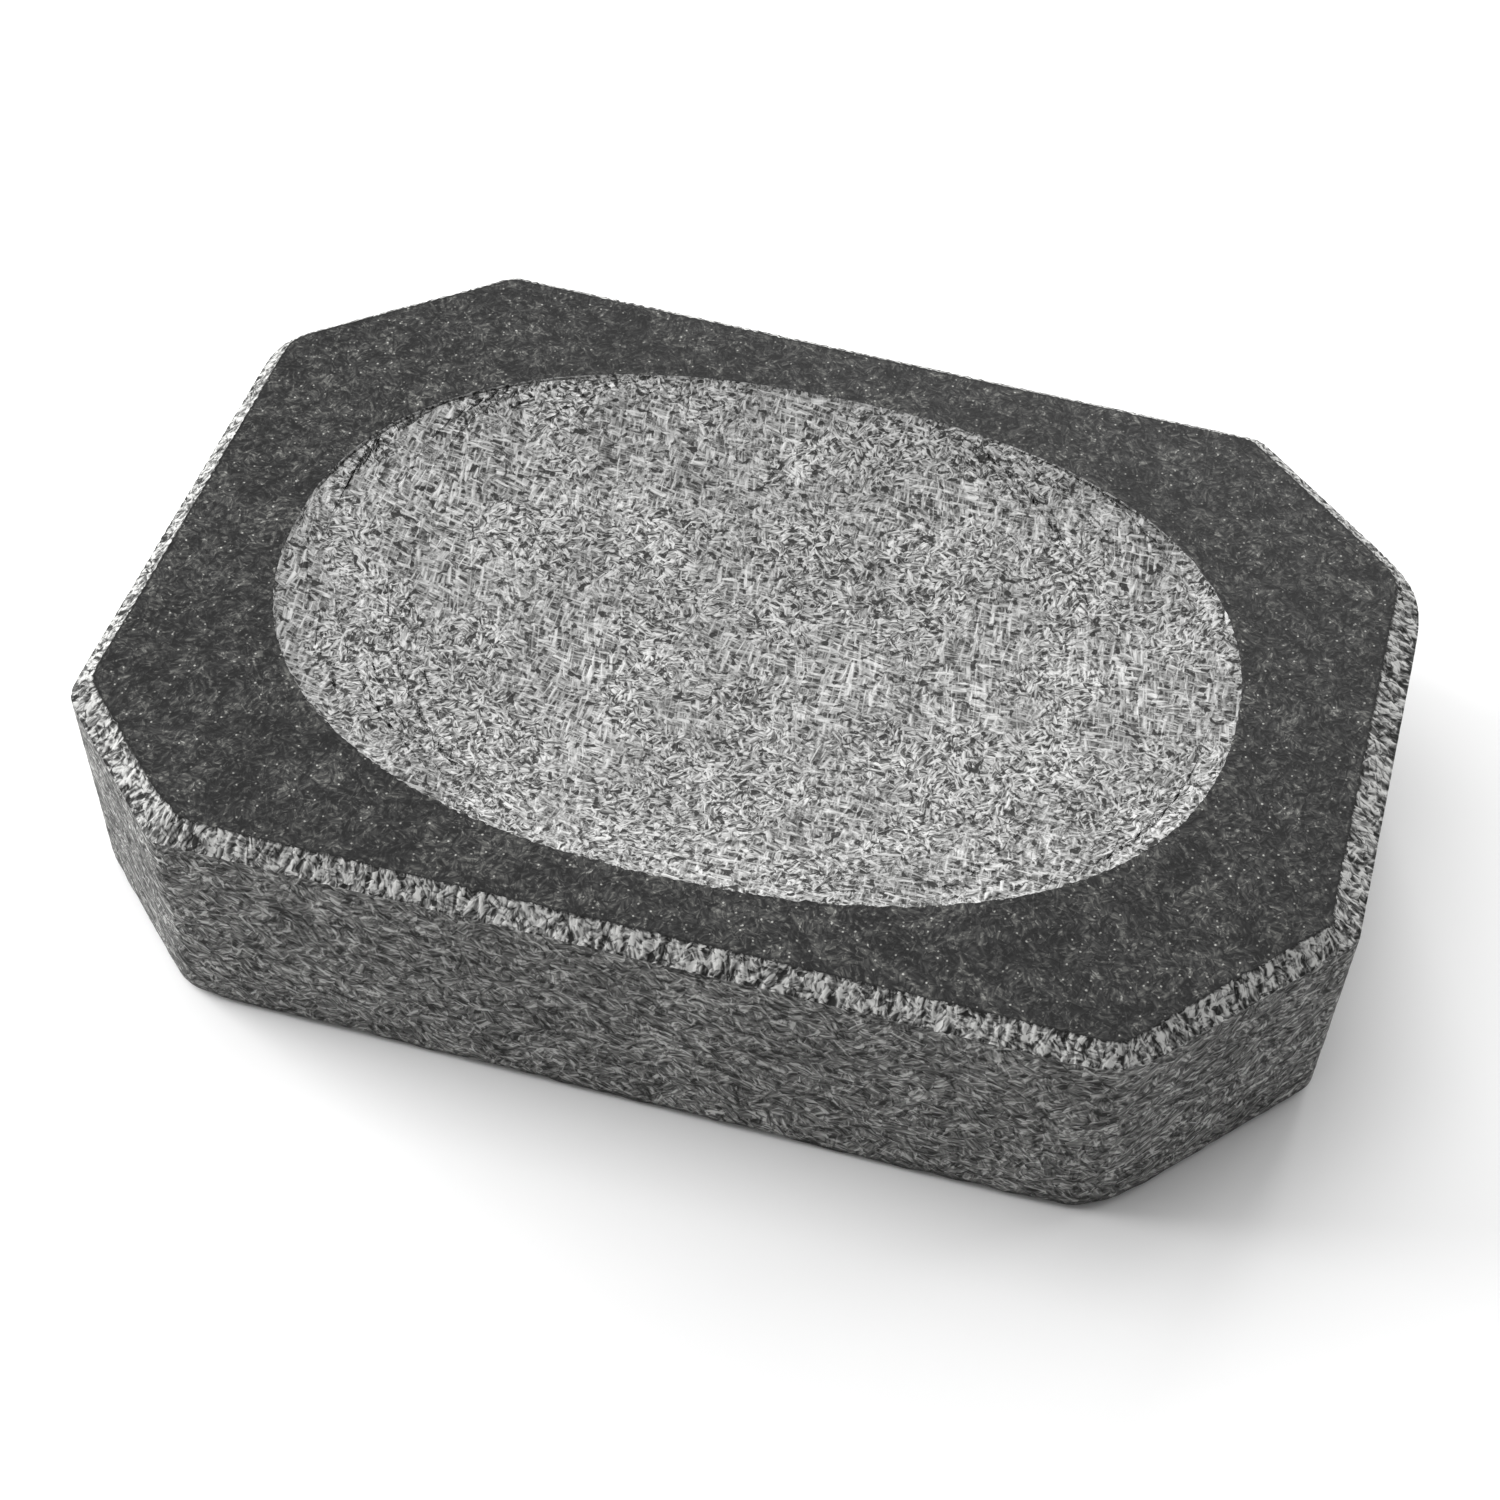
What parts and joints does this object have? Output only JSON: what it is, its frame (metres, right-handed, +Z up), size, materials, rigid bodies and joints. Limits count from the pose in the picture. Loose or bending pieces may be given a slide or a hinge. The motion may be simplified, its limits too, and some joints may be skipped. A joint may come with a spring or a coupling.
{
  "type": "basalt massage stone",
  "caption": "Heavy octagonal block of basalt with a flat honed rim and a shallow oval ground dish, for hot and cold massage.",
  "frame": {"origin": "on the base, under the middle of the block's box", "axes": "+X along the length, +Y from the front face to the back face, +Z up out of the honed top"},
  "size_m": [0.15, 0.101, 0.033],
  "materials": {
    "basalt": "sawn sides, honed rim, ground dish, tooled arris"
  },
  "bodies": {
    "root": {"basalt_stone": "basalt"}
  },
  "joints": []
}
